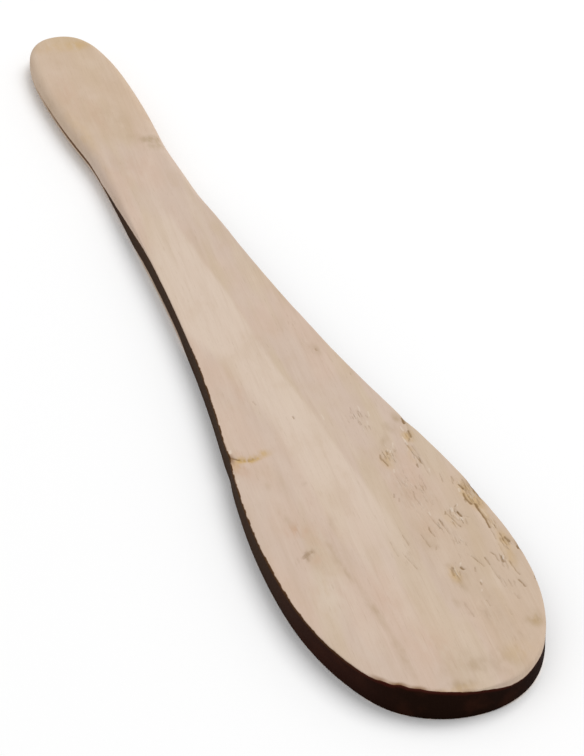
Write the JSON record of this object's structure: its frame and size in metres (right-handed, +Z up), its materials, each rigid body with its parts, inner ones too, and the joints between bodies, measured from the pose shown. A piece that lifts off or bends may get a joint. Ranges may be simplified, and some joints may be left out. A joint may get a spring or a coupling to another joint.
{
  "type": "wooden wax spatula",
  "caption": "Flat wooden spatula for spreading depilatory wax: a rounded slim handle, a waist and a wide paddle blade with a scorched cut edge.",
  "frame": {"origin": "on the flat underside, at the middle of the length and width", "axes": "+X along the spatula towards the blade's end, +Z up out of the face, +Y across the blade"},
  "size_m": [0.24, 0.038, 0.0048],
  "materials": {
    "scorched_wood": "dry, unvarnished, with a dark scorched cut edge"
  },
  "bodies": {
    "root": {"spatula": "scorched_wood"}
  },
  "joints": []
}
